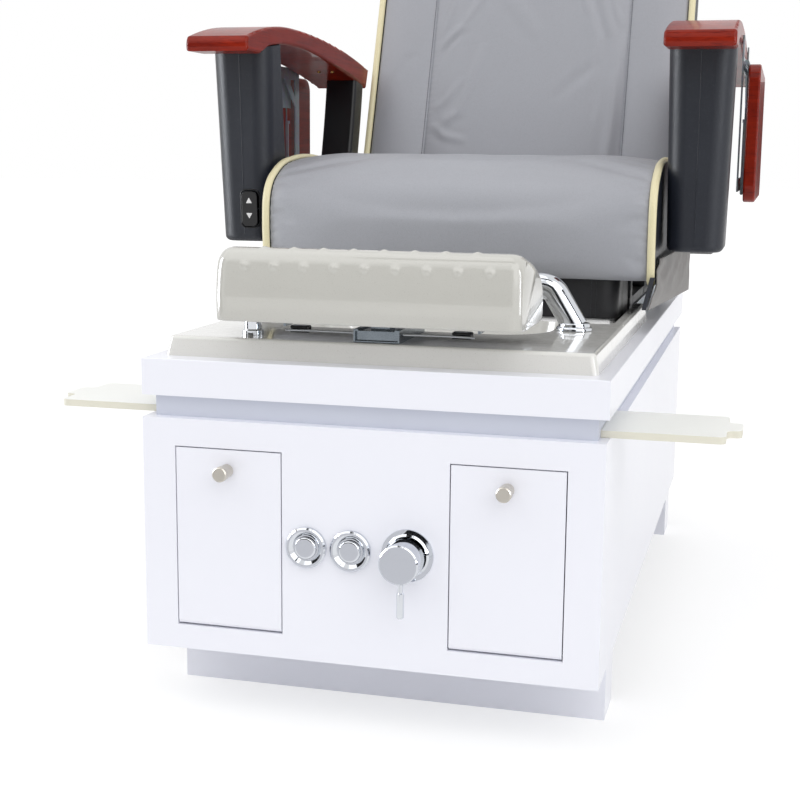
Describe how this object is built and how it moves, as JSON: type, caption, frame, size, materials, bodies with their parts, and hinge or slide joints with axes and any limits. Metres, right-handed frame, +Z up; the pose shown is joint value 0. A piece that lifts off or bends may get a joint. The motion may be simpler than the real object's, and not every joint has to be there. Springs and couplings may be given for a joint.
{
  "type": "pedicure bench",
  "caption": "Pedicure bench: box cabinet with foot basin, foot rest, mixer and doors, sliding reclining chair with lifting arms and folding side trays.",
  "frame": {"origin": "middle of the cabinet's footprint, on the floor", "axes": "+X to the sitter's left as seen by someone facing the bench (image right), +Y from the basin towards the backrest, +Z up"},
  "size_m": [0.872, 1.3639, 1.3643],
  "materials": {
    "cabinet_white": "gloss",
    "cabinet_core": "satin",
    "basin_acrylic": "gloss",
    "foot_rest_acrylic": "gloss",
    "chrome": "polished",
    "brushed_nickel": "satin",
    "steel_frame": "satin",
    "zinc_steel": "satin",
    "grey_leather": "satin",
    "black_leather": "satin",
    "cream_piping": "satin",
    "black_plastic": "matte",
    "black_gloss": "gloss",
    "cherry_wood": "gloss",
    "frosted_shelf": "satin",
    "white_pvc": "matte"
  },
  "bodies": {
    "cabinet": {"plinths": "cabinet_white", "cabinet_front": "cabinet_white", "cabinet_sides": "cabinet_white", "cabinet_back": "cabinet_white", "cabinet_floor": "cabinet_core", "recess_band": "cabinet_core", "top_slab": "cabinet_white", "door_bins": "cabinet_core", "door_hinge_pins": "zinc_steel", "basin": "basin_acrylic", "drain_pipe": "white_pvc", "jet": "chrome", "spout_base": "chrome", "mixer_plate": "chrome", "mixer_valve": "chrome", "button_bezels": "chrome", "air_switches": "white_pvc", "footrest_rail": "zinc_steel", "seat_rails": "zinc_steel"},
    "stopper": {"drain_stopper": "chrome"},
    "drain_dial": {"drain_knob": "chrome"},
    "door_leaf_left": {"door_left": "cabinet_white", "knob_left": "brushed_nickel"},
    "door_leaf_right": {"door_right": "cabinet_white", "knob_right": "brushed_nickel"},
    "side_shelf_left": {"shelf_left": "frosted_shelf"},
    "side_shelf_right": {"shelf_right": "frosted_shelf"},
    "air_button_left": {"button_left": "chrome"},
    "air_button_right": {"button_right": "chrome"},
    "mixer_stem": {"mixer_collar": "chrome"},
    "mixer_head": {"mixer_cap": "chrome", "mixer_lever": "chrome"},
    "spout_arm": {"spout": "chrome"},
    "rest_carriage": {"footrest_carriage": "zinc_steel"},
    "foot_rest": {"footrest": "foot_rest_acrylic"},
    "seat": {"seat_frame": "steel_frame", "seat_pan": "black_plastic", "seat_cushion": "grey_leather", "seat_piping": "cream_piping", "seat_skirt": "black_leather", "side_covers": "grey_leather"},
    "back": {"back_frame": "steel_frame", "back_shell": "black_plastic", "back_cushion": "grey_leather", "back_piping": "cream_piping"},
    "arm_left": {"arm_top_left": "cherry_wood", "column_left": "black_plastic", "post_left": "black_plastic", "tray_bracket_left": "zinc_steel"},
    "arm_right": {"arm_top_right": "cherry_wood", "column_right": "black_plastic", "post_right": "black_plastic", "tray_bracket_right": "zinc_steel"},
    "side_tray_left": {"tray_left": "cherry_wood", "tray_leaf_left": "zinc_steel"},
    "side_tray_right": {"tray_right": "cherry_wood", "tray_leaf_right": "zinc_steel"},
    "tray_link_left": {"tray_stay_left": "zinc_steel"},
    "tray_link_right": {"tray_stay_right": "zinc_steel"},
    "rocker": {"switch_rocker": "black_gloss"}
  },
  "joints": [
    {"name": "door_hinge_left", "type": "hinge", "parent": "cabinet", "child": "door_leaf_left", "pos_m": [-0.175, -0.588, 0.121], "axis": [1, 0, 0], "range_deg": [0, 90]},
    {"name": "shelf_slide_left", "type": "slide", "parent": "cabinet", "child": "side_shelf_left", "axis": [1, 0, 0], "range_m": [0, 0.12]},
    {"name": "button_press_left", "type": "slide", "parent": "cabinet", "child": "air_button_left", "axis": [0, 1, 0], "range_m": [0, 0.0035], "stiffness_N_per_m": 400, "springref_m": -0.002},
    {"name": "door_hinge_right", "type": "hinge", "parent": "cabinet", "child": "door_leaf_right", "pos_m": [0.175, -0.588, 0.121], "axis": [1, 0, 0], "range_deg": [0, 90]},
    {"name": "shelf_slide_right", "type": "slide", "parent": "cabinet", "child": "side_shelf_right", "axis": [-1, 0, 0], "range_m": [0, 0.12]},
    {"name": "button_press_right", "type": "slide", "parent": "cabinet", "child": "air_button_right", "axis": [0, 1, 0], "range_m": [0, 0.0035], "stiffness_N_per_m": 400, "springref_m": -0.002},
    {"name": "mixer_turn", "type": "hinge", "parent": "cabinet", "child": "mixer_stem", "pos_m": [0.0547, -0.594, 0.2285], "axis": [0, 1, 0], "range_deg": [-50, 50]},
    {"name": "mixer_lift", "type": "hinge", "parent": "mixer_stem", "child": "mixer_head", "pos_m": [0.0547, -0.616, 0.2285], "axis": [-1, 0, 0], "range_deg": [0, 20]},
    {"name": "spout_swing", "type": "hinge", "parent": "cabinet", "child": "spout_arm", "pos_m": [0.212, -0.338, 0.483], "axis": [0, 0, 1], "range_deg": [-12, 25]},
    {"name": "drain_turn", "type": "hinge", "parent": "cabinet", "child": "drain_dial", "pos_m": [-0.172, -0.512, 0.4773], "axis": [0, 0, 1], "range_deg": [0, 90]},
    {"name": "drain_lift", "type": "slide", "parent": "cabinet", "child": "stopper", "axis": [0, 0, 1], "range_m": [0, 0.01]},
    {"name": "rest_slide", "type": "slide", "parent": "cabinet", "child": "rest_carriage", "axis": [0, 1, 0], "range_m": [0, 0.03]},
    {"name": "rest_tilt", "type": "hinge", "parent": "rest_carriage", "child": "foot_rest", "pos_m": [0, -0.515, 0.498], "axis": [1, 0, 0], "range_deg": [-6, 6]},
    {"name": "seat_slide", "type": "slide", "parent": "cabinet", "child": "seat", "axis": [0, -1, 0], "range_m": [0, 0.08]},
    {"name": "back_recline", "type": "hinge", "parent": "seat", "child": "back", "pos_m": [0, 0.37, 0.545], "axis": [-1, 0, 0], "range_deg": [0, 30]},
    {"name": "arm_lift_left", "type": "hinge", "parent": "seat", "child": "arm_left", "pos_m": [-0.328, 0.315, 0.56], "axis": [-1, 0, 0], "range_deg": [0, 75]},
    {"name": "tray_fold_left", "type": "hinge", "parent": "arm_left", "child": "side_tray_left", "pos_m": [-0.404, 0.221, 0.843], "axis": [0, 1, 0], "range_deg": [0, 90]},
    {"name": "tray_stay_swing_left", "type": "hinge", "parent": "side_tray_left", "child": "tray_link_left", "pos_m": [-0.404, 0.186, 0.758], "axis": [0, -1, 0], "range_deg": [0, 140.6]},
    {"name": "arm_lift_right", "type": "hinge", "parent": "seat", "child": "arm_right", "pos_m": [0.328, 0.315, 0.56], "axis": [-1, 0, 0], "range_deg": [0, 75]},
    {"name": "tray_fold_right", "type": "hinge", "parent": "arm_right", "child": "side_tray_right", "pos_m": [0.404, 0.221, 0.843], "axis": [0, -1, 0], "range_deg": [0, 90]},
    {"name": "tray_stay_swing_right", "type": "hinge", "parent": "side_tray_right", "child": "tray_link_right", "pos_m": [0.404, 0.186, 0.758], "axis": [0, 1, 0], "range_deg": [0, 140.6]},
    {"name": "rocker_press", "type": "hinge", "parent": "arm_left", "child": "rocker", "pos_m": [-0.336, -0.08812, 0.61713], "axis": [1, 0, 0], "range_deg": [-6, 6], "stiffness_Nm_per_rad": 0.4}
  ],
  "couplings": [
    {"joint": "drain_turn", "follows": "drain_lift", "rad_per_m": 157.08},
    {"joint": "tray_stay_swing_left", "follows": "tray_fold_left", "ratio": 1.562},
    {"joint": "tray_stay_swing_right", "follows": "tray_fold_right", "ratio": 1.562}
  ]
}
